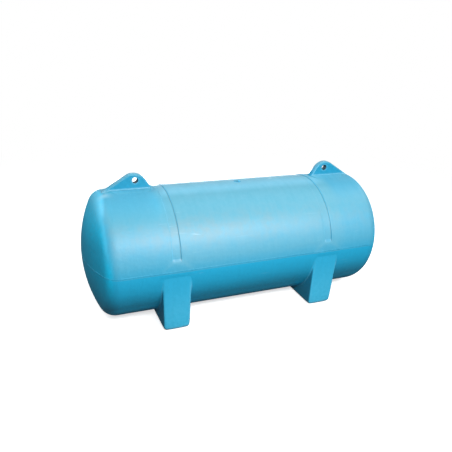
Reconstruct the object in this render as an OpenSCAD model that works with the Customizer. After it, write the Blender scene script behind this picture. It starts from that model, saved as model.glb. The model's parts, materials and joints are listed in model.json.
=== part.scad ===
// Horizontal storage tank, moulded in polyethylene with one even wall.
// A round body with dished ends stands on two hollow feet. Two channels over the
// feet take hold-down straps, and two lugs on the crown take lifting shackles.
// The origin is on the ground under the middle of the tank. X runs along the tank
// and Z is up.

/* [Body] */
// Outside diameter of the body
body_d = 1000; // [900:10:1200]
// Straight length between the dished ends
straight_l = 2110; // [2080:10:2600]
// Wall thickness of the whole moulding
wall = 8; // [5:0.5:12]
// Clearance between the belly and the ground
belly_clear = 10; // [4:1:40]

/* [Dished ends] */
// Crown radius of an end
crown_r = 1000; // [850:10:1400]
// Knuckle radius of an end
knuckle_r = 122; // [80:1:160]

/* [Strap channels] */
// Distance from an end seam to the middle of a foot and its strap channel
saddle_setback = 410; // [405:5:450]
// Width of a strap channel
strap_w = 66; // [40:1:90]
// Depth of a strap channel
strap_depth = 5.5; // [4.5:0.1:7]
// Angle above the parting line where a strap channel ends
strap_end_angle = 10.5; // [9:0.5:20]
// Chamfer at the mouth of a strap channel
strap_chamfer = 1.5; // [0.5:0.1:3]

/* [Feet] */
// Width of a foot where it leaves the body
foot_top_w = 226; // [180:2:260]
// Width of a foot on the ground
foot_base_w = 208; // [150:2:230]
// Distance that the sole of a foot is drawn in toward the middle of the tank
foot_lean = 7; // [0:1:14]
// Clearance from the front or back of the body in to a foot, where the foot leaves it
foot_clear = 0.5; // [0.5:0.5:40]
// Clearance from the front or back of the body in to a foot, on the ground
foot_base_clear = 22; // [15:1:60]
// Width of the shell beside a shoulder that belongs to the foot bay
bay_margin = 6; // [4:1:12]
// Radius of the upright corners of a foot
foot_corner_r = 14; // [10:1:24]
// Radius of the edge round the sole of a foot
foot_sole_r = 28; // [24:1:40]

/* [Foot shoulders] */
// Width of the raised shoulder over a foot
shoulder_w = 236; // [220:2:260]
// Width of a shoulder at its upper end, under the strap channel
shoulder_top_w = 80; // [60:2:200]
// Height of a shoulder above the body surface
shoulder_t = 2; // [2:0.5:5]
// Angle that a shoulder reaches above the parting line
shoulder_up_angle = 8.5; // [4:0.5:8.5]
// Angle that a shoulder reaches below the parting line
shoulder_down_angle = 7; // [5:0.5:14]

/* [Parting bead] */
// Height of the bead along the parting line
bead_h = 12; // [4:1:20]
// Distance that the bead stands out of the body
bead_proud = 2.5; // [1.5:0.1:4]
// Clearance between the bead and the body
bead_seat = 0.2; // [0.1:0.05:0.4]

/* [Lifting lugs] */
// Distance from an end seam to the middle of a lug
lug_setback = 204; // [200:1:208]
// Distance that an eye lies in toward the middle of the tank from the middle of its lug
eye_offset = 11; // [0:1:20]
// Height of an eye above the crown
eye_rise = 75; // [60:1:90]
// Diameter of an eye
eye_d = 44; // [30:1:56]
// Radius of the round top of a lug
lug_r = 110; // [100:1:120]
// Height of the centre of the round top above the crown
lug_round_rise = 16; // [8:1:24]
// Thickness of a lug
lug_t = 54; // [40:1:70]
// Bevel round the rim of a lug
lug_bevel = 9; // [4:0.5:12]
// Distance from the middle of a lug to its toe over the end
lug_outer_toe = 232; // [225:1:245]
// Distance from the middle of a lug to its toe over the body
lug_inner_toe = 137; // [132:1:145]

/* [Lug flares] */
// Height of a flare above the crown
flare_h = 8; // [7:0.5:16]
// Half width of a flare where it runs out on the body
flare_half_w = 104; // [90:1:110]
// Length of the slant at the inner end of a flare
flare_inner_slant = 48; // [30:1:60]
// Length of the slant at the outer end of a flare
flare_outer_slant = 96; // [80:1:120]
// Distance from a flare's top edge to the toe of its lug
flare_toe_fall = 52; // [40:1:60]

/* [Crown port] */
// Distance from the middle of the tank to the port
port_x = 20; // [-200:5:200]
// Diameter of the port insert
port_d = 60; // [56:1:80]
// Diameter of the mouth of the insert
port_mouth_d = 48; // [42:1:52]
// Depth of the countersink below the rim of the insert
port_mouth_depth = 7; // [4:0.5:10]
// Diameter of the port plug
plug_d = 34; // [28:1:38]
// Depth of the plug below the rim of the insert
plug_sink = 8; // [7:0.5:12]
// Width of the square head that turns the plug
head_w = 14; // [9:1:18]
// Height of the square head
head_h = 5; // [3:0.5:6]
// Height of the insert rim above the crown
port_proud = 1.5; // [1:0.5:5]
// Length of the insert through the wall
port_l = 26; // [20:1:40]

/* [Hidden] */

$fn = 180;
hull_fn = 32;
seat_fn = 480;
// Small length by which a piece reaches past a face that it is joined to or cut by
overlap = 1;

body_r = body_d / 2;
axis_z = body_r + belly_clear;
half_l = straight_l / 2;
saddle_x = half_l - saddle_setback;
lug_x = half_l - lug_setback;
foot_top_depth = body_d - 2 * foot_clear;
foot_base_depth = body_d - 2 * foot_base_clear;
foot_edge = shoulder_w / 2;
bay_edge = foot_edge + bay_margin;
channel_edge = strap_w / 2;
floor_r = body_r - strap_depth;
// The sides of a foot start inside the body, this far below the tank axis.
foot_root_fall = body_r / 40;

// The knuckle circle touches both the body line and the crown circle.
knuckle_c = body_r - knuckle_r;
crown_back = sqrt(pow(crown_r - knuckle_r, 2) - pow(knuckle_c, 2));
knuckle_angle = asin(knuckle_c / (crown_r - knuckle_r));

blue = [0.25, 0.66, 0.84];
deep_blue = [0.18, 0.56, 0.76];
plug_blue = [0.08, 0.33, 0.55];

// Crown of a dished end, from one radius on its seam to the knuckle on the right.
module crown_part(inset, from_x) {
    spread = crown_r * tan(knuckle_angle);
    intersection() {
        translate([0, -crown_back]) circle(crown_r - inset);
        polygon([
            [from_x, 0],
            [knuckle_c, 0],
            [knuckle_c + spread, crown_r],
            [from_x - (from_x < 0 ? spread : 0), crown_r]
        ]);
    }
}

// Knuckle of a dished end. It starts at its seam, or a little way under the crown.
module knuckle_part(inset, under) {
    intersection() {
        translate([knuckle_c, 0]) circle(knuckle_r - inset);
        polygon([
            [knuckle_c - under, 0],
            [crown_r, 0],
            [crown_r, crown_r],
            [knuckle_c - under + crown_r * tan(knuckle_angle), crown_r]
        ]);
    }
}

// Half of a dished end in section: x is the radius and y runs outward from the body.
module dish_section(inset) {
    crown_part(inset, 0);
    knuckle_part(inset, 0);
}

// Whole outline of a dished end, seen square to the tank axis.
module dish_outline(inset) {
    crown_part(inset, -knuckle_c);
    for (flip = [0, 1])
        mirror([flip, 0]) knuckle_part(inset, overlap);
}

// Turns a section about the tank axis, from one angle above the front parting
// line over the crown to another, and lays it along X.
module turn_section(from_angle, to_angle) {
    translate([0, 0, axis_z])
        rotate([90, 0, 90])
            rotate([0, 0, 180 - to_angle])
                rotate_extrude(angle = to_angle - from_angle)
                    children();
}

// Keeps the solid on the right, or mirrors it to the left.
module on_side(side) {
    if (side < 0) mirror([1, 0, 0]) children();
    else children();
}

// Puts an upper solid below the parting line.
module below_line() {
    translate([0, 0, axis_z]) mirror([0, 0, 1]) translate([0, 0, -axis_z]) children();
}

// Section of a course of the wall between two stations along the tank. An end that
// stands beside a strap channel has a lip that turns in to the channel floor.
module course_section(x0, x1, lip_at_start, lip_at_end) {
    inner_r = body_r - wall;
    lip_r = floor_r - wall;
    polygon(concat(
        lip_at_start
            ? [[inner_r, x0 + wall], [lip_r, x0 + wall], [lip_r, x0],
               [body_r - strap_chamfer, x0], [body_r, x0 + strap_chamfer]]
            : [[inner_r, x0], [body_r, x0]],
        lip_at_end
            ? [[body_r, x1 - strap_chamfer], [body_r - strap_chamfer, x1],
               [lip_r, x1], [lip_r, x1 - wall], [inner_r, x1 - wall]]
            : [[body_r, x1], [inner_r, x1]]
    ));
}

// Whole outside of the tank as one solid of revolution, for seats on the body.
module tank_outside($fn = seat_fn) {
    translate([0, 0, axis_z])
        rotate([0, 90, 0]) {
            translate([0, 0, -half_l]) cylinder(r = body_r, h = straight_l);
            for (flip = [0, 1])
                mirror([0, 0, flip])
                    translate([0, 0, half_l])
                        rotate_extrude()
                            dish_section(0);
        }
}

module end_upper(side) {
    color(blue)
        on_side(side)
            translate([half_l, 0, 0])
                turn_section(0, 180)
                    difference() {
                        dish_section(0);
                        dish_section(wall);
                    }
}

module end_lower(side) {
    color(deep_blue) below_line() end_upper(side);
}

// Outer course of the upper shell, between a strap channel and an end.
module shell_side_upper(side) {
    channel_wall = saddle_x + channel_edge;
    color(blue)
        on_side(side)
            turn_section(0, 180)
                course_section(channel_wall, half_l, true, false);
}

module shell_middle_upper() {
    channel_wall = saddle_x - channel_edge;
    color(blue)
        difference() {
            turn_section(0, 180)
                course_section(-channel_wall, channel_wall, true, true);
            translate([port_x, 0, axis_z])
                cylinder(d = port_d, h = body_r + port_l);
        }
}

module shell_side_lower(side) {
    color(deep_blue)
        below_line()
            on_side(side)
                turn_section(0, 180)
                    course_section(saddle_x + bay_edge, half_l, false, false);
}

module shell_middle_lower() {
    color(deep_blue)
        below_line()
            turn_section(0, 180)
                course_section(bay_edge - saddle_x, saddle_x - bay_edge, false, false);
}

// Sunk band between two lips. It keeps the full height of the wall at both ends,
// where each end of the channel is a step.
module strap_channel(side) {
    color(blue)
        translate([side * saddle_x, 0, 0])
            difference() {
                turn_section(0, 180)
                    translate([floor_r - wall, -channel_edge])
                        square([wall + strap_depth, strap_w]);
                turn_section(strap_end_angle, 180 - strap_end_angle)
                    translate([floor_r, -strap_w])
                        square([2 * wall, 2 * strap_w]);
            }
}

// Half of a solid round body below the parting line, over the width of a foot bay.
module bay_core(r) {
    below_line()
        translate([-bay_edge, 0, 0])
            turn_section(0, 180)
                square([r, 2 * bay_edge]);
}

// Shoulder over a foot, from one angle to another about the front parting line. Its
// root lies at root_r, inside the wall or on its surface.
module shoulder_band(from_angle, to_angle, root_r) {
    translate([-foot_edge, 0, 0])
        turn_section(from_angle, to_angle)
            polygon([
                [root_r, 0],
                [body_r, 0],
                [body_r + shoulder_t, shoulder_t],
                [body_r + shoulder_t, shoulder_w - shoulder_t],
                [body_r, shoulder_w],
                [root_r, shoulder_w]
            ]);
}

// Ball whose poles and equator lie exactly at its radius.
module ball(r) {
    rotate_extrude($fn = hull_fn)
        intersection() {
            circle(r, $fn = hull_fn);
            translate([0, -r]) square([r, 2 * r]);
        }
}

// Tapered block of a foot with round corners, drawn in by an even wall. Two rows of
// balls, a step apart, give the sole its wider edge.
module foot_block(inset) {
    r = foot_corner_r - inset / 2;
    step = (foot_sole_r - foot_corner_r) * (2 - sqrt(2));
    top_x = foot_top_w / 2 - inset - r;
    top_y = foot_top_depth / 2 - inset - r;
    base_x = foot_base_w / 2 - inset - r;
    base_y = foot_base_depth / 2 - inset - r;
    hull() {
        for (sx = [-1, 1], sy = [-1, 1]) {
            for (drop = [0, step])
                translate([
                    sx * (base_x - drop) - foot_lean,
                    sy * (base_y - drop),
                    inset + r + step - drop
                ])
                    ball(r);
            translate([sx * top_x, sy * top_y, axis_z - foot_root_fall])
                cylinder(r = r, h = overlap, $fn = hull_fn);
        }
    }
}

// One foot bay of the moulding: the lower shell, its shoulders and the hollow foot.
module foot(side) {
    color(deep_blue)
        on_side(side)
            translate([saddle_x, 0, 0])
                difference() {
                    union() {
                        bay_core(body_r);
                        below_line() {
                            shoulder_band(0, shoulder_down_angle, body_r - wall / 2);
                            shoulder_band(180 - shoulder_down_angle, 180, body_r - wall / 2);
                        }
                        foot_block(0);
                    }
                    translate([0, 0, axis_z])
                        rotate([0, 90, 0])
                            cylinder(r = body_r - wall, h = 2 * shoulder_w, center = true);
                    foot_block(wall);
                }
}

// Upper part of a shoulder, seated on the shell at the front or the back. It narrows
// from the foot toward the end of the strap channel.
module shoulder(side, face) {
    start = face < 0 ? 0 : 180 - shoulder_up_angle;
    top = body_r * sin(shoulder_up_angle);
    color(blue)
        translate([side * saddle_x, 0, 0])
            intersection() {
                shoulder_band(start, start + shoulder_up_angle, body_r);
                translate([0, 0, axis_z])
                    rotate([90, 0, 0])
                        linear_extrude(2 * body_d, center = true)
                            polygon([
                                [-foot_edge, 0], [foot_edge, 0],
                                [shoulder_top_w / 2, top + overlap],
                                [-shoulder_top_w / 2, top + overlap]
                            ]);
            }
}

// Outline of the tank at the parting line, grown outward by a margin.
module plan_outline(margin) {
    translate([-half_l, -body_r - margin]) square([straight_l, body_d + 2 * margin]);
    for (side = [-1, 1]) {
        translate([side * half_l, 0])
            rotate([0, 0, -90 * side])
                dish_outline(-margin);
        translate([side * saddle_x - foot_edge - margin, -body_r - shoulder_t - margin])
            square([shoulder_w + 2 * margin, body_d + 2 * (shoulder_t + margin)]);
    }
}

module bead_ring() {
    translate([0, 0, axis_z - bead_h / 2])
        linear_extrude(bead_h)
            difference() {
                plan_outline(bead_proud);
                plan_outline(bead_seat);
            }
}

module parting_bead_side(face) {
    color(blue)
        intersection() {
            bead_ring();
            translate([-half_l, face > 0 ? 0 : -body_d, 0])
                cube([straight_l, body_d, 2 * axis_z]);
        }
}

module parting_bead_end(side) {
    color(blue)
        intersection() {
            bead_ring();
            translate([side > 0 ? half_l : -half_l - body_r, -body_d, 0])
                cube([body_r, 2 * body_d, 2 * axis_z]);
        }
}

// Outline of a lug as a blank of even thickness, drawn in by a margin.
module lug_blank(thickness, margin) {
    toe_r = lug_bevel + overlap;
    rotate([90, 0, 0])
        translate([0, 0, -thickness / 2]) {
            translate([0, lug_round_rise, 0])
                cylinder(r = lug_r - margin, h = thickness, $fn = 3 * hull_fn);
            for (toe = [lug_outer_toe, -lug_inner_toe])
                translate([toe, -toe_r, 0])
                    cylinder(r = toe_r - margin, h = thickness, $fn = hull_fn);
        }
}

// Lifting lug with a bevelled rim, cut to its seat on the crown and bored for its eye.
module lug(side) {
    color(deep_blue)
        on_side(side)
            difference() {
                translate([lug_x, 0, axis_z + body_r])
                    hull() {
                        lug_blank(lug_t, lug_bevel);
                        lug_blank(lug_t - 2 * lug_bevel, 0);
                    }
                tank_outside();
                translate([lug_x - eye_offset, 0, axis_z + body_r + eye_rise])
                    rotate([90, 0, 0])
                        cylinder(d = eye_d, h = 2 * lug_t, center = true);
            }
}

// Flare beside a lug, which spreads its root over the crown. Its skirt runs out on
// the body, and its outer end falls to the toe of the lug.
module lug_flare(side) {
    inner = lug_x - lug_inner_toe;
    outer = lug_x + lug_outer_toe - flare_toe_fall;
    skirt_z = sqrt(pow(body_r, 2) - pow(flare_half_w, 2)) - overlap;
    color(blue)
        on_side(side)
            difference() {
                translate([0, 0, axis_z])
                    hull() {
                        translate([inner, -lug_t / 2, body_r])
                            cube([outer - inner, lug_t, flare_h]);
                        translate([outer, -lug_t / 2, body_r - flare_h])
                            cube([flare_toe_fall - lug_bevel, lug_t, flare_h]);
                        translate([inner + flare_inner_slant, -flare_half_w, skirt_z - flare_h])
                            cube([
                                outer - flare_outer_slant - inner,
                                2 * flare_half_w,
                                flare_h
                            ]);
                    }
                tank_outside();
                translate([inner - overlap, -lug_t / 2, axis_z + body_r - lug_r])
                    cube([lug_inner_toe + lug_outer_toe, lug_t, 2 * lug_r]);
            }
}

// Threaded port moulded into the crown, with a countersunk mouth.
module port_insert() {
    rim_z = axis_z + body_r + port_proud;
    color(blue)
        translate([port_x, 0, rim_z])
            rotate_extrude()
                polygon([
                    [plug_d / 2, -port_l],
                    [port_d / 2, -port_l],
                    [port_d / 2, 0],
                    [port_mouth_d / 2, 0],
                    [plug_d / 2, -port_mouth_depth]
                ]);
}

// Plug in the bore of the insert. Its square head stays below the rim.
module port_plug() {
    plug_h = port_l - plug_sink;
    bottom_z = axis_z + body_r + port_proud - port_l;
    color(plug_blue)
        translate([port_x, 0, bottom_z]) {
            cylinder(d = plug_d, h = plug_h);
            translate([-head_w / 2, -head_w / 2, 0])
                cube([head_w, head_w, plug_h + head_h]);
        }
}

end_upper(-1);  // end_left_upper
end_lower(-1);  // end_left_lower
end_upper(1);  // end_right_upper
end_lower(1);  // end_right_lower
shell_side_upper(-1);  // shell_left_upper
shell_middle_upper();
shell_side_upper(1);  // shell_right_upper
shell_side_lower(-1);  // shell_left_lower
shell_middle_lower();
shell_side_lower(1);  // shell_right_lower
strap_channel(-1);  // strap_channel_left
strap_channel(1);  // strap_channel_right
foot(-1);  // foot_left
foot(1);  // foot_right
shoulder(-1, -1);  // shoulder_left_front
shoulder(-1, 1);  // shoulder_left_back
shoulder(1, -1);  // shoulder_right_front
shoulder(1, 1);  // shoulder_right_back
parting_bead_side(-1);  // parting_bead_front
parting_bead_side(1);  // parting_bead_back
parting_bead_end(-1);  // parting_bead_left
parting_bead_end(1);  // parting_bead_right
lug(-1);  // lug_left
lug(1);  // lug_right
lug_flare(-1);  // lug_flare_left
lug_flare(1);  // lug_flare_right
port_insert();
port_plug();
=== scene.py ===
import json
import math

import bpy
from mathutils import Matrix, Vector

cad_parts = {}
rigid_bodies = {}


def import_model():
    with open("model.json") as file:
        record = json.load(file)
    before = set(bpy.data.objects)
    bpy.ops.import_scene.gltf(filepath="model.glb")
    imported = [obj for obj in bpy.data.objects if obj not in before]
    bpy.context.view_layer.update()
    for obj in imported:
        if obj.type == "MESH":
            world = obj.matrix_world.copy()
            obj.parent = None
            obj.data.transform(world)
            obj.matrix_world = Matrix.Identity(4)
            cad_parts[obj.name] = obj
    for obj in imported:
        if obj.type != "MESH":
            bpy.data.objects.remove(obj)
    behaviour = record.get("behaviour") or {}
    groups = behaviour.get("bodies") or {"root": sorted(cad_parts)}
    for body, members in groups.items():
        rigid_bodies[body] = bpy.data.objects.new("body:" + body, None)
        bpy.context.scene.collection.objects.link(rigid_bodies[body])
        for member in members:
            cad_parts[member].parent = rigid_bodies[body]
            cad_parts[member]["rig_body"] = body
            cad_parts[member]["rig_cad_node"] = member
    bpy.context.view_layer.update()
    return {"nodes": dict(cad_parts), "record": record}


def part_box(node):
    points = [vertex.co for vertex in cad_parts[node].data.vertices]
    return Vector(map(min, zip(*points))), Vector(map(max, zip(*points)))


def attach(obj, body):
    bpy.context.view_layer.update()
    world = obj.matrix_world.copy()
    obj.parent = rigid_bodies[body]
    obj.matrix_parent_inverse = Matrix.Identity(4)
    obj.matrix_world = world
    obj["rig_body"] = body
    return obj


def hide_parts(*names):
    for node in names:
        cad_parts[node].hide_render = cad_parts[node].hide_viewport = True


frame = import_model()
print("frame loaded")

# sizes that the pieces share, all from the CAD frame
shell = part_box("shell_middle_upper")
axisZ = shell[0].z
bodyRadius = shell[1].z - axisZ
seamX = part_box("shell_right_upper")[1].x
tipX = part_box("end_right_upper")[1].x
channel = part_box("strap_channel_right")
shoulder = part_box("shoulder_right_front")
saddleX = (channel[0].x + channel[1].x) / 2

# how faces and edges are picked, merged and shaded
slack = 1e-4                      # an edge may lie this far off its place
angleSlack = 0.1                  # or this many degrees round the body
facing = 0.9                      # a face looks along an axis from this share of its normal on
mergeDistance = 1e-5
smoothAngle = math.radians(40)


# small helpers for edit mode

def deselectAll():
    if bpy.context.object and bpy.context.object.mode == "EDIT":
        bpy.ops.object.mode_set(mode="OBJECT")
    bpy.ops.object.select_all(action="DESELECT")


def makeActive(piece):
    deselectAll()
    piece.select_set(True)
    bpy.context.view_layer.objects.active = piece


def openEdit(piece, mode="FACE"):
    makeActive(piece)
    bpy.ops.object.mode_set(mode="EDIT")
    bpy.ops.mesh.select_mode(type=mode)
    bpy.ops.mesh.select_all(action="DESELECT")


def closeEdit():
    bpy.ops.object.mode_set(mode="OBJECT")


def pickFaces(piece, test):
    # test gets the middle and the normal of a face
    bpy.ops.object.mode_set(mode="OBJECT")
    mesh = piece.data
    for part in (mesh.vertices, mesh.edges):
        part.foreach_set("select", [False] * len(part))
    mesh.polygons.foreach_set("select", [test(f.center, f.normal) for f in mesh.polygons])
    bpy.ops.object.mode_set(mode="EDIT")
    bpy.ops.mesh.select_mode(type="FACE")


def pickEdges(piece, test):
    # test gets both ends of an edge
    bpy.ops.object.mode_set(mode="OBJECT")
    mesh = piece.data
    ends = mesh.vertices
    for part in (mesh.vertices, mesh.polygons):
        part.foreach_set("select", [False] * len(part))
    mesh.edges.foreach_set("select", [
        test(ends[e.vertices[0]].co, ends[e.vertices[1]].co) for e in mesh.edges])
    bpy.ops.object.mode_set(mode="EDIT")
    bpy.ops.mesh.select_mode(type="EDGE")


def cutAt(point, normal, **settings):
    bpy.ops.mesh.select_all(action="SELECT")
    bpy.ops.mesh.bisect(plane_co=point, plane_no=normal, **settings)


def growRound(share, x, **settings):
    # scales what is picked about the axis of the body
    bpy.ops.transform.resize(value=(1, share, share), center_override=(x, 0, axisZ), **settings)


def applyPlace():
    bpy.ops.object.transform_apply(location=True, rotation=True, scale=True)


def addModifier(piece, kind, **settings):
    makeActive(piece)
    modifier = piece.modifiers.new(kind.title(), kind)
    for name, value in settings.items():
        setattr(modifier, name, value)
    bpy.ops.object.modifier_apply(modifier=modifier.name)


def joinPieces(pieces, name):
    makeActive(pieces[0])
    for piece in pieces[1:]:
        piece.select_set(True)
    bpy.ops.object.join()
    joined = bpy.context.object
    joined.name = name
    return joined


def blendPieces(pieces, shape, name):
    # one skin over all the pieces, softened where they meet
    blend = joinPieces(pieces, name)
    addModifier(blend, "REMESH", mode="VOXEL", voxel_size=shape["voxel"])
    addModifier(blend, "SMOOTH", factor=0.5, iterations=shape["softening"])
    return blend


def radiusOf(point):
    return math.hypot(point.y, point.z - axisZ)


def angleOf(point):
    # degrees above the parting line, the same at the front and the back
    return math.degrees(math.atan2(point.z - axisZ, abs(point.y)))


bodyShape = {
    "lines": 288,                 # round the body, 1.25 degrees apart
    "crownRadius": 1.0,
    "knuckleRadius": 0.122,
    "knuckleSteps": 9,
    "crownSteps": 11,
    "channelEnd": 8.75,           # degrees above the parting line
    "channelRamp": 2.5,           # degrees over which the floor runs out
    "channelDepth": 0.0055,
    "channelLip": 0.0032,
    "channelFillet": 0.002,
    "lipSegments": 3,
    "rimSlack": 0.0006,           # a corner of a rim may lie this far off its radius
    "floorFrom": 0.001,           # what is sunk deeper belongs to the floor of a channel
    "shoulderTop": 7.0,           # degrees above the parting line
    "shoulderFoot": -3.0,
    "shoulderTopHalf": 0.036,     # half width under the channel
    "shoulderRise": 0.0022,
    "shoulderFade": 0.026,        # the swelling runs out over this length
    "cutStep": 0.012,             # between the cuts that let a shoulder swell
    "cutGap": 0.006,              # from the side of a channel to the nearest of them
    "portMargin": 0.01,           # from the port to the cuts beside it
    "pocketRadius": 0.0275,       # pocket for the port insert
    "pocketDepth": 0.024,
    "pocketLines": 64,
}


def dishProfile(shape):
    # rings of a dished end as (distance past the seam, radius), seam to tip
    knuckle, crown = shape["knuckleRadius"], shape["crownRadius"]
    knuckleCentre = bodyRadius - knuckle
    turn = math.asin(knuckleCentre / (crown - knuckle))
    crownBack = math.sqrt((crown - knuckle) ** 2 - knuckleCentre ** 2)
    rings = []
    for step in range(1, shape["knuckleSteps"] + 1):
        a = (math.pi / 2 - turn) * step / shape["knuckleSteps"]
        rings.append((knuckle * math.sin(a), knuckleCentre + knuckle * math.cos(a)))
    for step in range(1, shape["crownSteps"]):
        a = turn * (1 - step / shape["crownSteps"])
        rings.append((crown * math.cos(a) - crownBack, crown * math.sin(a)))
    rings.append((crown - crownBack, 0))
    return rings


def makeBarrel(shape):
    # the straight part, cut along the channels, the shoulders and the port
    deselectAll()
    bpy.ops.mesh.primitive_cylinder_add(
        vertices=shape["lines"], radius=bodyRadius, depth=2 * seamX, end_fill_type="NOTHING",
        location=(0, 0, axisZ), rotation=(0, math.radians(90), 0))
    barrel = bpy.context.object
    applyPlace()
    cuts = [channel[0].x, channel[1].x]
    x = shoulder[0].x - 2 * shape["shoulderFade"]
    while x < shoulder[1].x + 2 * shape["shoulderFade"]:
        if min(abs(x - channel[0].x), abs(x - channel[1].x)) > shape["cutGap"]:
            cuts.append(x)
        x += shape["cutStep"]
    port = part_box("port_insert")
    besidePort = [port[0].x - shape["portMargin"], port[1].x + shape["portMargin"]]
    openEdit(barrel)
    for x in [cut * side for cut in cuts for side in (-1, 1)] + besidePort:
        cutAt((x, 0, axisZ), (1, 0, 0))
    return barrel


def addDishes(body, shape):
    # one ring after another, from the seams out to the tips
    for side in (-1, 1):
        pickEdges(body, lambda a, b: min(a.x * side, b.x * side) > seamX - slack)
        lastX, lastRadius = 0, bodyRadius
        for x, radius in dishProfile(shape):
            bpy.ops.mesh.extrude_region_move(TRANSFORM_OT_translate={"value": (side * (x - lastX), 0, 0)})
            if radius:
                growRound(radius / lastRadius, side * (seamX + x))
            else:
                bpy.ops.mesh.merge(type="CENTER")
            lastX, lastRadius = x, radius


def sinkChannels(body, shape):
    # from one ledge over the crown to the other
    depth, end = shape["channelDepth"], shape["channelEnd"]
    shrink = 1 - depth / bodyRadius
    for side in (-1, 1):
        pickFaces(body, lambda c, n: channel[0].x < c.x * side < channel[1].x and angleOf(c) > end)
        bpy.ops.mesh.extrude_region_move()
        growRound(shrink, side * saddleX)

        # the floor comes back up to the shell in a short ramp
        for rung, share in ((0, 0), (shape["channelRamp"] / 2, 0.5)):
            def onRung(a, b):
                level = all(abs(angleOf(p) - end - rung) < angleSlack for p in (a, b))
                within = all(channel[0].x - slack < p.x * side < channel[1].x + slack for p in (a, b))
                return level and within and max(radiusOf(a), radiusOf(b)) < bodyRadius - shape["floorFrom"]
            pickEdges(body, onRung)
            growRound((1 - share * depth / bodyRadius) / shrink, side * saddleX)


def roundChannels(body, shape):
    rampTop = shape["channelEnd"] + shape["channelRamp"]

    def onRim(a, b, radius):
        # both sides of a channel down to its ramp, and the edge across it there
        if any(abs(radiusOf(p) - radius) > shape["rimSlack"] for p in (a, b)):
            return False
        for x in (channel[0].x, channel[1].x):
            if all(abs(abs(p.x) - x) < slack for p in (a, b)) and abs(a.x - b.x) < slack:
                return all(angleOf(p) > rampTop - angleSlack for p in (a, b))
        within = all(channel[0].x - slack < abs(p.x) < channel[1].x + slack for p in (a, b))
        return within and all(abs(angleOf(p) - rampTop) < angleSlack for p in (a, b))

    # the lips first, then the floors
    floorRadius = bodyRadius - shape["channelDepth"]
    for radius, width in ((bodyRadius, shape["channelLip"]), (floorRadius, shape["channelFillet"])):
        pickEdges(body, lambda a, b: onRim(a, b, radius))
        bpy.ops.mesh.bevel(offset=width, segments=shape["lipSegments"], profile=0.5, affect="EDGES")


def swellShoulders(body, shape):
    # softly, over the feet, at the front and the back
    footHalf = (shoulder[1].x - shoulder[0].x) / 2 - shape["shoulderFade"] / 2
    for side in (-1, 1):
        def onShoulder(c, n):
            rise = max(angleOf(c), 0) / shape["shoulderTop"]
            half = footHalf + (shape["shoulderTopHalf"] - footHalf) * rise
            level = shape["shoulderFoot"] < angleOf(c) < shape["shoulderTop"]
            return level and abs(c.x * side - saddleX) < half
        pickFaces(body, onShoulder)
        growRound(
            1 + shape["shoulderRise"] / bodyRadius, side * saddleX, use_proportional_edit=True,
            use_proportional_connected=True, proportional_edit_falloff="SMOOTH",
            proportional_size=shape["shoulderFade"])


def sinkPocket(body, shape):
    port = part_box("port_insert")
    deselectAll()
    bpy.ops.mesh.primitive_cylinder_add(
        vertices=shape["pocketLines"], radius=shape["pocketRadius"], depth=2 * shape["pocketDepth"],
        location=((port[0].x + port[1].x) / 2, 0, shell[1].z))
    cutter = bpy.context.object
    applyPlace()
    addModifier(body, "BOOLEAN", object=cutter, operation="DIFFERENCE", solver="EXACT")
    bpy.data.objects.remove(cutter)


def makeBody(shape):
    body = makeBarrel(shape)
    body.name = "tankBody"
    addDishes(body, shape)
    sinkChannels(body, shape)
    roundChannels(body, shape)
    swellShoulders(body, shape)
    bpy.ops.mesh.select_all(action="SELECT")
    bpy.ops.mesh.remove_doubles(threshold=mergeDistance)
    bpy.ops.mesh.normals_make_consistent(inside=False)
    closeEdit()
    sinkPocket(body, shape)
    makeActive(body)
    bpy.ops.object.shade_smooth_by_angle(angle=smoothAngle)
    return body


body = makeBody(bodyShape)
print("body made", len(body.data.polygons))


footShape = {
    "topWidth": 0.226,
    "baseWidth": 0.208,
    "lean": 0.007,                # the sole is drawn in toward the middle of the tank
    "topClear": 0.0005,           # from the front of the body in to the foot, at its root
    "baseClear": 0.022,           # and on the ground
    "cornerRadius": 0.014,
    "cornerSegments": 4,
    "soleRadius": 0.028,
    "soleSteps": 6,
    "rootDrop": 0.0125,           # from the axis down to the top of the block
    "skirt": 0.05,                # band of shell on each side that takes the fillet
    "skirtDrop": 0.02,            # from the axis down to the band
    "skirtWall": 0.03,
    "skirtSink": 0.0003,          # the band lies just under the shell
    "voxel": 0.005,
    "softening": 6,
    "cornerSoftening": [(0.06, 8), (0.045, 8)],     # reach from a corner, and passes
}


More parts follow.
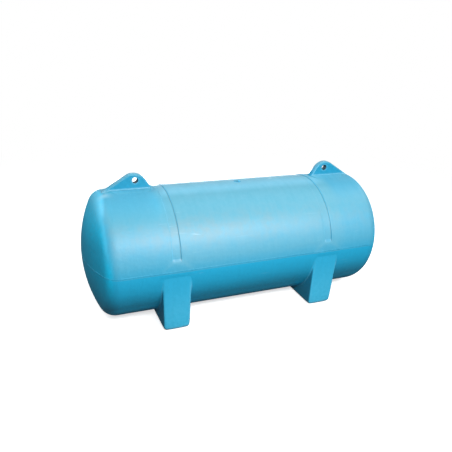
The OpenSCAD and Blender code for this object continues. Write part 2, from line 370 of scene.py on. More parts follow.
def makeBlock(shape, side, baseX, width, depth):
    sole, height = shape["soleRadius"], axisZ - shape["rootDrop"]
    deselectAll()
    bpy.ops.mesh.primitive_cube_add(size=1, location=(baseX, 0, (height + sole) / 2))
    block = bpy.context.object
    block.scale = (width, depth, height - sole)
    applyPlace()
    openEdit(block)
    pickEdges(block, lambda a, b: abs(a.z - b.z) > slack)
    bpy.ops.mesh.bevel(
        offset=shape["cornerRadius"], segments=shape["cornerSegments"], profile=0.5, affect="EDGES")

    # rounded edge down to the sole
    pickFaces(block, lambda c, n: n.z < -facing)
    lastDrop, lastRise = 0, sole
    for step in range(1, shape["soleSteps"] + 1):
        turn = math.pi / 2 * step / shape["soleSteps"]
        drop, rise = sole * (1 - math.cos(turn)), sole * (1 - math.sin(turn))
        bpy.ops.mesh.extrude_region_move(TRANSFORM_OT_translate={"value": (0, 0, rise - lastRise)})
        shrinkX = (width - 2 * drop) / (width - 2 * lastDrop)
        shrinkY = (depth - 2 * drop) / (depth - 2 * lastDrop)
        bpy.ops.transform.resize(value=(shrinkX, shrinkY, 1), center_override=(baseX, 0, rise))
        lastDrop, lastRise = drop, rise

    # root, wider than the sole
    pickFaces(block, lambda c, n: n.z > facing)
    growX = shape["topWidth"] / width
    growY = (bodyRadius - shape["topClear"]) / (bodyRadius - shape["baseClear"])
    bpy.ops.transform.resize(value=(growX, growY, 1), center_override=(baseX, 0, height))
    bpy.ops.transform.translate(value=(side * shape["lean"], 0, 0))
    closeEdit()
    return block


def makeBand(shape, side):
    # the part of the shell on which a foot grows
    deselectAll()
    bpy.ops.mesh.primitive_cylinder_add(
        vertices=bodyShape["lines"], radius=bodyRadius - shape["skirtSink"],
        depth=shape["topWidth"] + 2 * shape["skirt"], end_fill_type="NOTHING",
        location=(side * saddleX, 0, axisZ), rotation=(0, math.radians(90), 0))
    band = bpy.context.object
    applyPlace()
    openEdit(band)
    cutAt((0, 0, axisZ - shape["skirtDrop"]), (0, 0, 1), clear_outer=True)
    closeEdit()
    addModifier(band, "SOLIDIFY", thickness=shape["skirtWall"], offset=-1)
    return band


def makeFoot(shape, side):
    width, depth = shape["baseWidth"], 2 * (bodyRadius - shape["baseClear"])
    baseX = side * (saddleX - shape["lean"])
    block = makeBlock(shape, side, baseX, width, depth)
    band = makeBand(shape, side)
    foot = blendPieces([block, band], shape, "footLeft" if side < 0 else "footRight")

    # the four corners of the sole are the roundest
    openEdit(foot, "VERT")
    for reach, repeat in shape["cornerSoftening"]:
        def onCorner(c, n):
            fromCorner = max(abs(width / 2 - abs(c.x - baseX)), abs(depth / 2 - abs(c.y)))
            return c.z < reach and fromCorner < reach
        pickFaces(foot, onCorner)
        bpy.ops.mesh.vertices_smooth(factor=0.5, repeat=repeat)
    closeEdit()
    makeActive(foot)
    bpy.ops.object.shade_smooth()
    return foot


feet = [makeFoot(footShape, side) for side in (-1, 1)]
print("feet made", [len(foot.data.polygons) for foot in feet])


lugShape = {
    "patchHalfWidth": 0.16,
    "patchFrom": 0.5,             # share of the radius over the axis, where the patch begins
    "patchInner": 0.04,           # shell kept past the end of a lug that is nearer the middle
    "patchOuter": 0.05,           # and past its toe
    "patchWall": 0.012,
    "patchSink": 0.0003,          # the patch lies just under the shell
    "voxel": 0.003,
    "softening": 5,
}


def copyOfNode(name):
    piece = frame["nodes"][name].copy()
    piece.data = piece.data.copy()
    piece.parent = None
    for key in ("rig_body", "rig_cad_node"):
        if key in piece:
            del piece[key]
    piece.name = "draft"
    bpy.context.scene.collection.objects.link(piece)
    openEdit(piece, "VERT")
    bpy.ops.mesh.select_all(action="SELECT")
    bpy.ops.mesh.remove_doubles(threshold=mergeDistance)
    closeEdit()
    return piece


def makePatch(shape, side, box):
    # the part of the shell on which a lug grows
    patch = body.copy()
    patch.data = body.data.copy()
    bpy.context.scene.collection.objects.link(patch)
    openEdit(patch)
    pickFaces(patch, lambda c, n: c.z < axisZ + bodyRadius * shape["patchFrom"])
    bpy.ops.mesh.delete(type="FACE")
    inner, outer, half = shape["patchInner"], shape["patchOuter"], shape["patchHalfWidth"]
    toLeft, toRight = (inner, outer) if side > 0 else (outer, inner)
    for point, normal in (
            ((box[0].x - toLeft, 0, 0), (-1, 0, 0)), ((box[1].x + toRight, 0, 0), (1, 0, 0)),
            ((0, half, 0), (0, 1, 0)), ((0, -half, 0), (0, -1, 0))):
        cutAt(point, normal, clear_outer=True)
    bpy.ops.mesh.select_all(action="SELECT")
    bpy.ops.transform.translate(value=(0, 0, -shape["patchSink"]))
    closeEdit()
    addModifier(patch, "SOLIDIFY", thickness=shape["patchWall"], offset=-1)
    return patch


def makeLug(shape, side):
    end = "left" if side < 0 else "right"
    fin, flare = copyOfNode("lug_" + end), copyOfNode("lug_flare_" + end)
    patch = makePatch(shape, side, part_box("lug_" + end))
    lug = blendPieces([fin, flare, patch], shape, "lug" + end.title())
    makeActive(lug)
    bpy.ops.object.shade_smooth()
    return lug


lugs = [makeLug(lugShape, side) for side in (-1, 1)]
print("lugs made", [len(lug.data.polygons) for lug in lugs])


beadShape = {
    "cadProud": 0.0025,           # how far a new bead stands out of the shell
    "proud": 0.0007,              # and a worn one
    "bevel": 0.0006,
    "bevelSegments": 3,
    "bevelAngle": 50,             # degrees
}


def makeBead(shape):
    strips = [copyOfNode("parting_bead_" + place) for place in ("front", "back", "left", "right")]
    bead = joinPieces(strips, "partingBead")
    openEdit(bead)
    bpy.ops.mesh.select_all(action="SELECT")
    worn = shape["cadProud"] - shape["proud"]
    bpy.ops.transform.resize(
        value=(1 - worn / tipX, 1 - worn / bodyRadius, 1), center_override=(0, 0, axisZ))
    closeEdit()
    addModifier(
        bead, "BEVEL", width=shape["bevel"], segments=shape["bevelSegments"], limit_method="ANGLE",
        angle_limit=math.radians(shape["bevelAngle"]), harden_normals=True)
    makeActive(bead)
    bpy.ops.object.shade_smooth_by_angle(angle=smoothAngle)
    return bead


bead = makeBead(beadShape)
print("bead made")


class Wire:
    # one socket of a node tree, so that masks can be written as sums
    def __init__(self, tree, socket=None):
        self.tree, self.socket = tree, socket

    def add(self, kind, settings=None, inputs=None, output=0):
        # a new node; inputs go by name or number, a Wire is linked, the rest is set
        node = self.tree.nodes.new(kind)
        for name, value in (settings or {}).items():
            setattr(node, name, value)
        for name, value in (inputs or {}).items():
            if isinstance(name, int):
                socket = node.inputs[name]
            else:
                socket = next(i for i in node.inputs if i.name == name and i.enabled)
            if isinstance(value, Wire):
                self.tree.links.new(value.socket, socket)
            elif socket.type == "RGBA":
                socket.default_value = (*value, 1)
            else:
                socket.default_value = value
        return Wire(self.tree, node.outputs[output])

    def feed(self, shader, name):
        self.tree.links.new(self.socket, shader.inputs[name])

    def sum(self, operation, first, second=None):
        values = {0: first} if second is None else {0: first, 1: second}
        return self.add("ShaderNodeMath", {"operation": operation}, values)

    def __add__(self, other):
        return self.sum("ADD", self, other)

    def __radd__(self, other):
        return self.sum("ADD", other, self)

    def __sub__(self, other):
        return self.sum("SUBTRACT", self, other)

    def __rsub__(self, other):
        return self.sum("SUBTRACT", other, self)

    def __mul__(self, other):
        return self.sum("MULTIPLY", self, other)

    def __rmul__(self, other):
        return self.sum("MULTIPLY", other, self)

    def __abs__(self):
        return self.sum("ABSOLUTE", self)

    def clipped(self):
        return self.sum("MINIMUM", self.sum("MAXIMUM", self, 0.0), 1.0)

    def orMore(self, other):
        return self.sum("MAXIMUM", self, other)

    def rise(self, low, high):
        # 0 up to low, 1 from high on, soft in between
        return self.add("ShaderNodeMapRange", {"interpolation_type": "SMOOTHSTEP"},
                        {"Value": self, "From Min": low, "From Max": high})

    def near(self, middle, width):
        # 1 at the middle, 0 a width away
        return 1 - abs(self - middle).rise(0.0, width)

    def nearEither(self, first, second, width):
        # the same around two middles
        return self.near(first, width).orMore(self.near(second, width))

    def tint(self, first, second):
        # colour mix with this mask, where 0 gives the first
        return self.add("ShaderNodeMix", {"data_type": "RGBA"}, {0: self, 6: first, 7: second}, 2)

    def stretched(self, along, across, up):
        return self.add("ShaderNodeVectorMath", {"operation": "MULTIPLY"}, {0: self, 1: (along, across, up)})

    def noise(self, scale, detail):
        return self.add("ShaderNodeTexNoise", None, {"Vector": self, "Scale": scale, "Detail": detail})

    def patchy(self, scale, detail, calm=0.3):
        # noise with its contrast raised, the more the nearer calm comes to a half
        return self.noise(scale, detail).rise(calm, 1 - calm)

    def split(self):
        return [self.add("ShaderNodeSeparateXYZ", None, {0: self}, axis) for axis in "XYZ"]


def newMaterial(name):
    material = bpy.data.materials.new(name)
    material.use_nodes = True
    tree = material.node_tree
    return material, Wire(tree), tree.nodes["Principled BSDF"]


plastic = {
    "deepBlue": (0.016, 0.415, 0.69),       # below the parting line and on the ends
    "fadedAndLitBlue": (0.102, 0.415, 0.585),     # the upper half, bleached and painted lighter for the light from above
    "paintedSlopeShadeBlue": (0.088, 0.365, 0.485),     # painted shade on the upper slopes
    "paintedCrownLightBlue": (0.165, 0.53, 0.73),       # painted light along the crown
    # the next is painted shade on the faces of the ends
    "paintedEndShadeBlue": (0.002, 0.37, 0.61),
    "paintedGlowBlue": (0.006, 0.60, 0.96),       # painted light over the ends, as if it came through the wall
    "paintedCrestLightBlue": (0.085, 0.66, 1.0),        # painted light from the upper left over the upper knuckles
    "bellyBlue": (0.016, 0.62, 1.0),        # painted light from the floor under the belly
    # dust, which also carries a painted sheen in the front highlight
    "dustAndSheen": (0.24, 0.17, 0.10),
    # worn is rubbed wear and also the colour of painted highlights
    "worn": (0.38, 0.70, 0.86),
    # grime, and the colour of painted shade
    "grimeAndShade": (0.010, 0.055, 0.085),
    "upright": 0.55,                        # how much a wall has faded and is painted lighter that looks neither up nor down
    "paintedSlopeShadeShare": 0.65,
    "paintedEndShadeShare": 0.8,
    "paintedCrestLightShare": 0.9,
    "bellyShare": 0.9,
    "dustAndSheenShare": 0.26,
    "paintedUnderShadeShare": (0.15, 0.14),           # painted shade below, and how much more of it in patches
    "roughness": 0.44,
    "specular": 0.45,
    "coat": 0.9,                            # a chalky film, only where the blue has faded
    "coatRoughness": 0.5,
    "cloudScale": 6.5,                      # per metre
    "blotchScale": 17,
    "waveScale": 19,
    "mottleScale": 42,
    "grainScale": 330,
    "streakScales": (38, 4, 4),             # along, across and up the tank
    "scuffScales": (5, 85, 85),
    "patchScale": 3.1,
    "grainDepth": 0.00012,                  # metres
    "mottleDepth": 0.00025,
    "waveDepth": 0.0012,
    "scuffDepth": 0.0001,
    "fade": (-0.014, -0.010),               # heights over the axis, from fresh to faded and painted lighter
    "sides": (0.2, 0.95),                   # how far a face looks along the tank, from faded to fresher and in painted shade
    "paintedSideShade": 0.85,                       # how much less it has faded then, as painted shade
    "ends": (0.67, 0.79),                   # distances from the middle, from faded to fresher
    "endLoss": 0.22,                        # how much less has faded beside the lugs
    "crownLoss": 0.38,                      # and how much less again on the crown there
    "farLeft": (-0.95, -0.78),              # x, between which the chalk thins out to the left
    "chalkLoss": 0.32,
    "dustAndSheenSlope": (0.53, 0.34),              # dust and a painted sheen lie on this slope, and this far to both sides of it
    "slope": (0.40, 0.70),                  # how far a face looks up, where each tone starts and is full
    "crown": (0.93, 0.99),
    "belly": (0.54, 0.70),                  # the same for looking down
    # painted shade under the belly, by how far a face looks down
    "underShadeSlope": (0.22, 0.56),
    "end": (0.80, 0.98),                    # and for looking along the tank
    "knuckle": (0.68, 0.40),                # how far it looks along, and how far its light spreads
    "knuckleFrom": (-0.45, 0.10),           # how far up it looks where its light starts and is full
    "knuckleTo": (0.0, 0.4),                # and where most of its light goes again
    "knuckleLoss": 0.85,
    "paintedCrestLight": (1.19, 1.35),                  # along and up added together
    "crestTo": (0.88, 0.94),                # how far it looks along where part of its light goes
    "crestLoss": 0.6,
}


def makePlastic(name, look, marking):
    material, graph, shader = newMaterial(name)
    place = graph.add("ShaderNodeTexCoord", output="Object")
    x, y, z = place.split()
    nx, ny, nz = graph.add("ShaderNodeTexCoord", output="Normal").split()
    height, endways, below = z - axisZ, abs(nx), 0 - nz

    clouds = place.patchy(look["cloudScale"], 4.0)
    mottle = place.patchy(look["mottleScale"], 3.0)
    streaks = place.stretched(*look["streakScales"]).patchy(1.0, 4.0)
    blotches = place.patchy(look["blotchScale"], 4.0, 0.35)
    grain = place.noise(look["grainScale"], 2.0)
    waves = place.noise(look["waveScale"], 1.0)

    # lighter from the parting line up, partly sun bleaching and partly painted light from above, with
    # painted shade on faces that look along the tank, the left ones most
    light, dark, fresh = marking(x, y, z, nx, ny, nz, mottle, clouds)
    sides = 1 - (endways * 0.8 - nx * 0.2).rise(*look["sides"]) * look["paintedSideShade"]
    ends = look["endLoss"] + nz.rise(0.70, 0.95) * look["crownLoss"]
    ends = 1 - abs(x - 0.05).rise(*look["ends"]) * ends
    upward = look["upright"] + nz.rise(0.0, 0.20) * (1 - look["upright"])
    fadedAndLit = height.rise(*look["fade"]) * upward * sides * ends * (1 - fresh)
    colour = (fadedAndLit * (0.9 + mottle * 0.1)).tint(look["deepBlue"], look["fadedAndLitBlue"])
    # painted shade on the upper slopes
    colour = (nz.rise(*look["slope"]) * fadedAndLit * look["paintedSlopeShadeShare"]).tint(colour, look["paintedSlopeShadeBlue"])
    # painted light along the crown
    crown = nz.rise(*look["crown"]) * fadedAndLit * ends * (0.8 + clouds * 0.2)
    colour = crown.tint(colour, look["paintedCrownLightBlue"])
    # painted shade on the faces that look along the tank
    colour = (endways.rise(*look["end"]) * look["paintedEndShadeShare"]).tint(colour, look["paintedEndShadeBlue"])

    # painted light, as if it came through the wall, over the ends, on the upper knuckles and under the belly
    knuckle = endways.near(*look["knuckle"]) * nz.rise(*look["knuckleFrom"])
    knuckle = knuckle * (1 - nz.rise(*look["knuckleTo"]) * look["knuckleLoss"])
    clear = knuckle.orMore(endways.rise(0.5, 0.9) * nz.rise(0.08, 0.36))
    colour = (clear * (0.8 + mottle * 0.2)).tint(colour, look["paintedGlowBlue"])
    # painted light from the upper left on the crests of the upper knuckles
    paintedCrestLight = (endways + nz).rise(*look["paintedCrestLight"]) * (1 - endways.rise(*look["crestTo"]) * look["crestLoss"])
    paintedCrestLight = paintedCrestLight.orMore(endways.near(0.70, 0.18) * nz.rise(0.12, 0.34) * 0.5)
    colour = (paintedCrestLight * look["paintedCrestLightShare"]).tint(colour, look["paintedCrestLightBlue"])
    # painted light from the floor under the belly
    belly = below.rise(*look["belly"]) * look["bellyShare"]
    colour = belly.tint(colour, look["bellyBlue"])

    # dust, with a painted sheen of the front highlight, sits in the chalk, least on the right, the far left
    # and the back
    farLeft = 1 - x.rise(*look["farLeft"])
    dustAndSheenZone = nz.near(*look["dustAndSheenSlope"]) * (1 - x.rise(0.12, 0.30) * 0.45) * (1 - farLeft * 0.15)
    dustAndSheenZone = dustAndSheenZone * (1 - y.rise(-0.1, 0.2) * 0.7)
    chalkAndSheen = fadedAndLit * dustAndSheenZone * (clouds * 0.4 + blotches * 0.5 + streaks * 0.3)
    colour = (chalkAndSheen * look["dustAndSheenShare"]).tint(colour, look["dustAndSheen"])
    specks = (1 - mottle) * 0.03 + (1 - streaks) * 0.03 + (1 - grain) * 0.02
    colour = specks.tint(colour, look["grimeAndShade"])

    # scuffs, long and fine, in patches
    patches = place.noise(look["patchScale"], 2.0).rise(0.52, 0.62)
    scuffs = place.stretched(*look["scuffScales"]).noise(1.0, 4.0).rise(0.66, 0.74) * patches * 0.25
    # wear and painted highlights from the marking take the worn colour
    colour = scuffs.orMore(light).clipped().tint(colour, look["worn"])
    # painted shade under the belly, the more a face looks down
    least, more = look["paintedUnderShadeShare"]
    paintedUnderShade = below.rise(*look["underShadeSlope"]) * (1 - belly) * (least + mottle * more)
    colour = dark.orMore(paintedUnderShade).clipped().tint(colour, look["grimeAndShade"])
    colour.feed(shader, "Base Color")

    roughness = look["roughness"] + clouds * 0.04 + mottle * 0.04 + chalkAndSheen * 0.04 - light * 0.08
    roughness.feed(shader, "Roughness")
    film = fadedAndLit * (0.5 + clouds * 0.25 + blotches * 0.3 + streaks * 0.15)
    film = film * (1 - farLeft * look["chalkLoss"])
    (film * look["coat"]).feed(shader, "Coat Weight")
    shader.inputs["Coat Roughness"].default_value = look["coatRoughness"]
    shader.inputs["Specular IOR Level"].default_value = look["specular"]
    relief = grain * look["grainDepth"] + mottle * look["mottleDepth"]
    relief = relief + waves * look["waveDepth"] + scuffs * look["scuffDepth"]
    bump = graph.add("ShaderNodeBump", None, {"Strength": 1.0, "Distance": 1.0, "Height": relief})
    bump.feed(shader, "Normal")
    return material


# each marking gives what is lighter, from wear and painted highlights, what is darker, from grime and
# painted shade, and what hasn't faded, which on the body is painted shade on the channel ramps

bodyMarks = {
    "channel": (0.075, 0.095),    # heights over the axis, from below a channel to inside it
    "lipWidth": 0.005,
    "lipWear": 0.12,
    "cornerWidth": 0.007,
    "cornerInset": 0.003,         # from a side of a channel to its shaded corner
    "cornerPaintedShade": 0.42,
    "highlightDabs": (0.026, 0.018),  # from the middle of a channel to each painted highlight dab, and half a dab
    "highlightDabHeight": (0.090, 0.014),
    "paintedDabHighlight": 0.20,
    "ramp": (0.088, 0.022),       # height of a channel's end over the axis, and half its length
    "rampSides": (0.018, 0.034),  # distances from the middle of the channel, from full painted shade to none
    "rampUnfadedShade": 0.45,
    "rampPaintedShade": 0.10,
    "lugsFrom": (0.72, 0.82),     # distances from the middle, from unshaded to painted shade
    "lugsTo": (1.04, 1.10),       # and back to unshaded
    "lugPaintedShade": 0.09,
    "crown": 0.45,                # height over the axis from which a mark lies on the crown
    # middle and half length along x, height over the axis, fall along x, half width
    "scratches": [
        {"middle": -0.487, "half": 0.050, "height": 0.2530, "fall": 0.14, "width": 0.0036, "share": 0.62},
        {"middle": -0.600, "half": 0.070, "height": 0.2700, "fall": 0.10, "width": 0.0028, "share": 0.24},
        {"middle": -0.120, "half": 0.110, "height": 0.2050, "fall": -0.03, "width": 0.0024, "share": 0.20},
        {"middle": 0.520, "half": 0.080, "height": 0.3050, "fall": 0.05, "width": 0.0024, "share": 0.20},
        {"middle": 0.930, "half": 0.060, "height": 0.1400, "fall": -0.12, "width": 0.0024, "share": 0.20},
    ],
    "crownMark": {"x": 0.333, "y": 0.018, "halfX": 0.030, "halfY": 0.024},
    # painted highlight beside the left lug's toe, on the swelling there
    "paintedToeHighlight": {"x": -1.085, "y": -0.085, "halfX": 0.075, "halfY": 0.050},
    "paintedToeHighlightShares": (0.32, 0.24),    # everywhere in the highlight, and more in clouds
}


def spot(x, y, place):
    return x.near(place["x"], place["halfX"]) * y.near(place["y"], place["halfY"])


def markBody(x, y, z, nx, ny, nz, mottle, clouds):
    marks, height, along = bodyMarks, z - axisZ, abs(x)
    inChannel = height.rise(*marks["channel"])
    lips = along.nearEither(channel[0].x, channel[1].x, marks["lipWidth"]) * inChannel
    # painted shade in the corner of each channel away from the light
    inset = marks["cornerInset"]
    corners = x.nearEither(-channel[0].x - inset, channel[1].x - inset, marks["cornerWidth"]) * inChannel
    # painted highlight dabs where the strap leaves the channel
    apart, half = marks["highlightDabs"]
    dabs = along.nearEither(saddleX - apart, saddleX + apart, half) * height.near(*marks["highlightDabHeight"])
    light = (lips * marks["lipWear"]).orMore(dabs * marks["paintedDabHighlight"]) * (0.5 + mottle * 0.5)

    # a painted highlight beside the left lug, and single scratches
    least, more = marks["paintedToeHighlightShares"]
    toeHighlight = spot(x, y, marks["paintedToeHighlight"]) * height.rise(marks["crown"], marks["crown"] + 0.02)
    light = light.orMore(toeHighlight * (least + clouds * more))
    front = 1 - y.rise(-0.02, 0.0)
    for scratch in marks["scratches"]:
        middle, fall = scratch["middle"], scratch["fall"]
        line = (height + x * fall).near(scratch["height"] + middle * fall, scratch["width"])
        light = light.orMore(line * x.near(middle, scratch["half"]) * front * scratch["share"])
    light = light.orMore(spot(x, y, marks["crownMark"]) * height.rise(marks["crown"], marks["crown"] + 0.01))

    # painted shade on the ramp at each channel end, dimming the highlight it catches
    ramp = height.near(*marks["ramp"]) * (1 - abs(along - saddleX).rise(*marks["rampSides"]))
    # painted shade on the crown beside the lugs
    besideLugs = along.rise(*marks["lugsFrom"]) * (1 - along.rise(*marks["lugsTo"])) * nz.rise(0.6, 0.95)
    dark = (corners * marks["cornerPaintedShade"]).orMore(ramp * marks["rampPaintedShade"])
    return light, dark.orMore(besideLugs * marks["lugPaintedShade"]), ramp * marks["rampUnfadedShade"]


footMarks = {
    "corners": (0.086, 0.108),    # from the middle of a foot out to its corners, along the tank
    "cornerTop": (0.36, 0.44),    # heights over the ground, between which the rubbing and painted highlight end
    "cornerWearAndHighlight": 0.18,
    "soleEdge": (0.012, 0.030),   # height of the rubbed edge, partly a painted highlight, and how far it spreads
    "soleWearAndHighlight": 0.16,
    "lower": (0.12, 0.46),        # heights between which the light from the ground ends
    "paintedGroundLight": 0.08,
    "sole": (-0.004, 0.018),
    "soleGrime": 0.10,
    "splash": (0.0, 0.12),
    "splashGrime": 0.06,
    "endPaintedShade": (0.24, 0.12),     # painted shade on the faces that look along the tank, and more in patches
}


def markFoot(x, y, z, nx, ny, nz, mottle, clouds):
    # rubbed corners and edges, partly painted highlights, painted light from the ground, dirt splashed up
    # from the ground, painted shade on the ends
    marks = footMarks
    corners = abs(abs(x) - saddleX).rise(*marks["corners"]) * abs(ny).rise(0.1, 0.5)
    corners = corners * (0.35 + nx.rise(0.0, 0.3) * 0.65) * (1 - z.rise(*marks["cornerTop"]))
    light = corners * marks["cornerWearAndHighlight"] + z.near(*marks["soleEdge"]) * marks["soleWearAndHighlight"]
    light = light + (1 - z.rise(*marks["lower"])) * marks["paintedGroundLight"]
    least, more = marks["endPaintedShade"]
    dark = z.near(*marks["sole"]) * mottle * marks["soleGrime"]
    dark = dark + z.near(*marks["splash"]) * (1 - mottle) * marks["splashGrime"]
    dark = dark + abs(nx).rise(0.6, 0.95) * (least + mottle * more) * (1 - corners * 0.5)
    return light * (0.6 + mottle * 0.4), dark, 0.0


lugMarks = {
    "faces": (0.03, 0.06),        # heights over the crown, between which the faces turn lighter with painted light
    "paintedFaceLight": 0.30,
    "eyeRub": (0.008, 0.009),     # from the edge of the eye out to the rub, and half the rub
    "eyeWear": 0.16,
    "eyeEdge": (0.0005, 0.0035),  # from the edge of the eye, between which its painted shade ends
    "rootLine": (0.002, 0.006),   # from the face of a lug out to a painted highlight line, and half the line
    "root": (0.016, 0.024),       # heights over the crown, where this line ends
    "paintedRootHighlight": 0.22,
    "toe": (1.045, 1.070),        # distances from the middle of the tank
    "paintedToeLight": 0.34,
    "eyePaintedShade": 0.9,
    "film": (0.09, 0.05),         # painted shade on the steeper faces: everywhere, and more in patches
}
eyeMount = next(m for m in frame["record"]["mounts"] if m["name"].startswith("lug_eye"))
eye, eyeRadius = Vector(eyeMount["pos_m"]), eyeMount["dims"]["r_mm"] / 1000
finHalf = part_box("lug_left")[1].y
crownZ = axisZ + bodyRadius


def markLug(x, y, z, nx, ny, nz, mottle, clouds):
    marks = lugMarks
    across, up = abs(x) - abs(eye.x), z - eye.z
    fromEye = x.sum("SQRT", across * across + up * up)
    rim = abs(ny).rise(0.3, 0.8)
    low, high = marks["faces"]
    light = (1 - rim) * z.rise(crownZ + low, crownZ + high) * marks["paintedFaceLight"]
    out, half = marks["eyeRub"]
    light = light.orMore(fromEye.near(eyeRadius + out, half) * marks["eyeWear"])
    # painted highlight where a lug meets its flare
    out, half = marks["rootLine"]
    low, high = marks["root"]
    root = abs(y).near(finHalf + out, half) * (1 - z.rise(crownZ + low, crownZ + high))
    # painted light on the toe of each lug
    toe = abs(x).rise(*marks["toe"])
    light = light.orMore(root * marks["paintedRootHighlight"]).orMore(toe * marks["paintedToeLight"])
    # painted shade inside the eye
    low, high = marks["eyeEdge"]
    inside = (1 - fromEye.rise(eyeRadius + low, eyeRadius + high)) * (1 - rim * 0.5)
    least, more = marks["film"]
    paintedFinShade = (least + (1 - mottle) * more) * (1 - nz.rise(0.15, 0.5)) * (1 - toe)
    return light * (0.6 + mottle * 0.4), (inside * marks["eyePaintedShade"]).orMore(paintedFinShade), 0.0


def unmarked(x, y, z, nx, ny, nz, mottle, clouds):
    return mottle * 0.05, (1 - mottle) * 0.08, 0.0


def dress(piece, material):
    piece.data.materials.clear()
    piece.data.materials.append(material)


# the insert and the plug are a darker blue, painted shade of the port's recess
insertLook = dict(
    plastic, fadedAndLitBlue=(0.03, 0.31, 0.52), paintedCrownLightBlue=(0.04, 0.33, 0.54), coat=0.3, dustAndSheenShare=0.1)
plugLook = dict(
    insertLook, deepBlue=(0.012, 0.20, 0.42), fadedAndLitBlue=(0.012, 0.17, 0.36), paintedCrownLightBlue=(0.015, 0.18, 0.37))
lugLook = dict(
    plastic, deepBlue=(0.003, 0.335, 0.575), fadedAndLitBlue=(0.03, 0.36, 0.56), paintedGlowBlue=(0.004, 0.335, 0.575),
    paintedEndShadeBlue=(0.003, 0.33, 0.57), specular=0.36, crownLoss=0.1, paintedCrestLightShare=0.0, bellyShare=0.0)
# on the feet the faded tone is painted light from the ground, lighter toward the sole
footLook = dict(
    plastic, deepBlue=(0.026, 0.44, 0.72), fadedAndLitBlue=(0.05, 0.63, 0.95), fade=(-0.05, -0.48), coat=0.0,
    dustAndSheenShare=0.0, paintedCrestLightShare=0.0, bellyShare=0.0)
beadLook = dict(plastic, fadedAndLitBlue=(0.05, 0.40, 0.62), coat=0.5, dustAndSheenShare=0.08)
shellBlue = makePlastic("skyBlueShell", plastic, markBody)
footBlue = makePlastic("skyBlueFoot", footLook, markFoot)
lugBlue = makePlastic("skyBlueLug", lugLook, markLug)
beadBlue = makePlastic("skyBlueBead", beadLook, unmarked)
insertBlue = makePlastic("insertBluePaintedShade", insertLook, unmarked)
plugBlue = makePlastic("plugBluePaintedShade", plugLook, unmarked)
for pieces, material in (([body], shellBlue), ([bead], beadBlue), (feet, footBlue), (lugs, lugBlue)):
    for piece in pieces:
        dress(piece, material)
        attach(piece, "root")
dress(frame["nodes"]["port_insert"], insertBlue)
dress(frame["nodes"]["port_plug"], plugBlue)

names = list(frame["nodes"])
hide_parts(*[n for n in names if n.startswith(("end_", "shell_", "strap_", "shoulder_"))])
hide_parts(*[n for n in names if n.startswith("parting_bead_")])
for foot, lug, end in zip(feet, lugs, ("left", "right")):
    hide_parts("foot_" + end)
    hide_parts("lug_" + end, "lug_flare_" + end)
print("materials made")


cameraPlace = {
    "position": (-1.6016, -3.6130, 2.1449),
    "target": (-0.0643, 0, 0.6188),
    "roll": 2.45,             # degrees
    "lens": 39.3,
}


def makeCamera(place):
    camera = bpy.data.objects.new("camera", bpy.data.cameras.new("camera"))
    bpy.context.scene.collection.objects.link(camera)
    position, target = Vector(place["position"]), Vector(place["target"])
    ahead = (target - position).normalized()
    across = ahead.cross(Vector((0, 0, 1))).normalized()
    above = across.cross(ahead)
    roll = math.radians(place["roll"])
    right = across * math.cos(roll) + above * math.sin(roll)
    up = above * math.cos(roll) - across * math.sin(roll)
    camera.matrix_world = Matrix((
        (right.x, up.x, -ahead.x, position.x),
        (right.y, up.y, -ahead.y, position.y),
        (right.z, up.z, -ahead.z, position.z),
        (0, 0, 0, 1)))
    camera.data.lens = place["lens"]
    camera.data.sensor_width = 36
    bpy.context.scene.camera = camera


makeCamera(cameraPlace)

studio = {
    "floorSize": 80,
    "floorDrop": 0.0006,                    # the soles stand just clear of the floor
    "floorRoughness": 0.9,
    "floorPale": (0.93, 0.93, 0.93),
    "floorDark": (0.05, 0.055, 0.06),       # what the tank gets back from the floor
    "floorLift": (0.66, 0.66, 0.66),        # keeps the shadow light in the view
    "floorInGloss": 0.05,
    "white": (2.2, 6.0),                    # distances between which the floor turns plain white
    "skyStrength": 0.26,
    "skyInGloss": 0.35,
}
panels = {
    "stripLight": {"position": (0.0, -3.4, 2.85), "target": (0.0, 0, 0.6), "size": (4.2, 0.8), "power": 197},
    "topLight": {"position": (0.3, 0.6, 4.3), "target": (0.1, 0.1, 0.5), "size": (5, 1.8), "power": 24},
    # low, so that the crown doesn't throw it forward
    "backLight": {"position": (1.2, 3.9, 0.55), "target": (0.8, 0, 0.5), "size": (4.4, 0.8), "power": 80},
    "leftLight": {"position": (-3.4, 1.3, 3.4), "target": (-1.1, 0, 0.6), "size": (1.6, 1.6), "power": 38},
    "rightLight": {"position": (3.6, -0.3, 3.2), "target": (1.1, 0, 0.6), "size": (1.6, 1.6), "power": 20},
}


def seenBy(path, glossShare):
    # camera rays in full, glossy and transmitted rays by their share
    other = (path.add("ShaderNodeLightPath", output="Is Glossy Ray")
             + path.add("ShaderNodeLightPath", output="Is Transmission Ray")) * glossShare
    return (path.add("ShaderNodeLightPath", output="Is Camera Ray") + other).clipped()


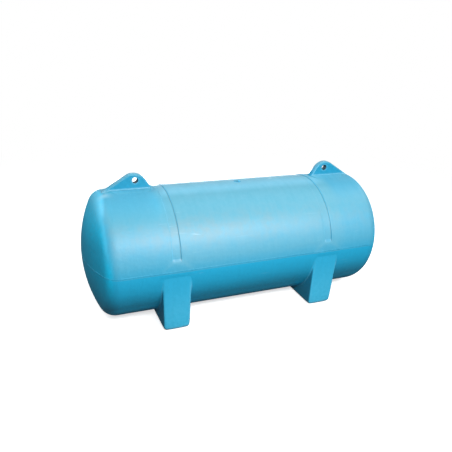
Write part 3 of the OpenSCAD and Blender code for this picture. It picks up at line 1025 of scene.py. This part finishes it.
def makeFloor(look):
    deselectAll()
    bpy.ops.mesh.primitive_plane_add(size=look["floorSize"], location=(0, 0, -look["floorDrop"]))
    floor = bpy.context.object
    floor.name = "floor"
    material, graph, shader = newMaterial("paleFloor")
    seen = seenBy(graph, look["floorInGloss"])
    seen.tint(look["floorDark"], look["floorPale"]).feed(shader, "Base Color")
    seen.tint((0, 0, 0), look["floorLift"]).feed(shader, "Emission Color")
    shader.inputs["Emission Strength"].default_value = 1
    shader.inputs["Roughness"].default_value = look["floorRoughness"]
    shader.inputs["Specular IOR Level"].default_value = 0
    place = graph.add("ShaderNodeTexCoord", output="Object")
    distance = graph.add("ShaderNodeVectorMath", {"operation": "LENGTH"}, {0: place}, "Value")
    inView = graph.add("ShaderNodeLightPath", output="Is Camera Ray")
    white = graph.add("ShaderNodeEmission", None, {"Color": (1, 1, 1), "Strength": 1.0})
    lit = Wire(graph.tree, shader.outputs[0])
    mixed = graph.add(
        "ShaderNodeMixShader", None, {0: distance.rise(*look["white"]) * inView, 1: lit, 2: white})
    mixed.feed(graph.tree.nodes["Material Output"], "Surface")
    floor.data.materials.append(material)


def addPanel(name, position, target, size, power):
    lamp = bpy.data.lights.new(name, "AREA")
    lamp.shape = "RECTANGLE"
    lamp.size, lamp.size_y, lamp.energy = size[0], size[1], power
    holder = bpy.data.objects.new(name, lamp)
    bpy.context.scene.collection.objects.link(holder)
    holder.location = position
    holder.rotation_euler = (Vector(target) - Vector(position)).to_track_quat("-Z", "Y").to_euler()


def makeSky(look):
    world = bpy.data.worlds.new("studio")
    bpy.context.scene.world = world
    world.use_nodes = True
    graph = Wire(world.node_tree)
    background = world.node_tree.nodes["Background"]
    background.inputs["Color"].default_value = (1, 1, 1, 1)
    least = look["skyStrength"]
    strength = seenBy(graph, look["skyInGloss"]) * (1 - least) + least
    strength.feed(background, "Strength")


makeFloor(studio)
makeSky(studio)
for name, panel in panels.items():
    addPanel(name, **panel)
bpy.context.scene.view_settings.view_transform = "Standard"
print("camera, floor and lights made")
